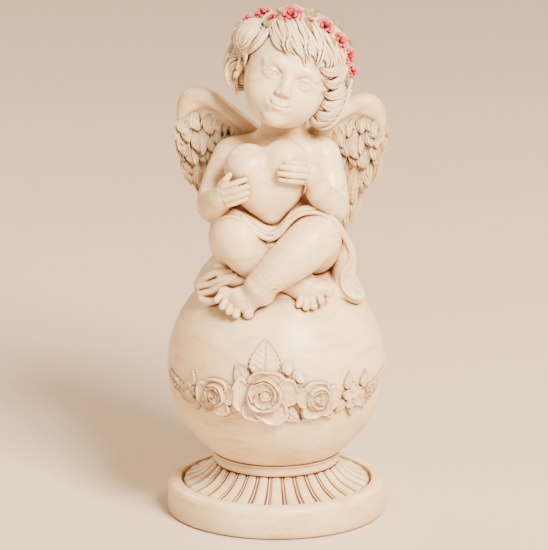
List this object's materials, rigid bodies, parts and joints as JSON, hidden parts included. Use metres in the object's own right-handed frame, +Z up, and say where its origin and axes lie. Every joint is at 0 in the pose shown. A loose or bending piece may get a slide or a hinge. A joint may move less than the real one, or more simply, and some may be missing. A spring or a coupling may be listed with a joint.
{
  "type": "angel figurine",
  "caption": "Cast resin cherub holding a heart, seated on a garlanded ball over a fluted round foot; a standing garden or shelf ornament.",
  "frame": {"origin": "centre of the round foot's underside, on the surface it stands on", "axes": "+Z up along the plinth's axis, -Y to the front, where the cherub looks, and +X to the right of someone facing it"},
  "size_m": [0.1572, 0.1652, 0.3827],
  "materials": {
    "ivory_resin": "satin"
  },
  "bodies": {
    "root": {"cherub": "ivory_resin", "plinth": "ivory_resin"}
  },
  "joints": []
}
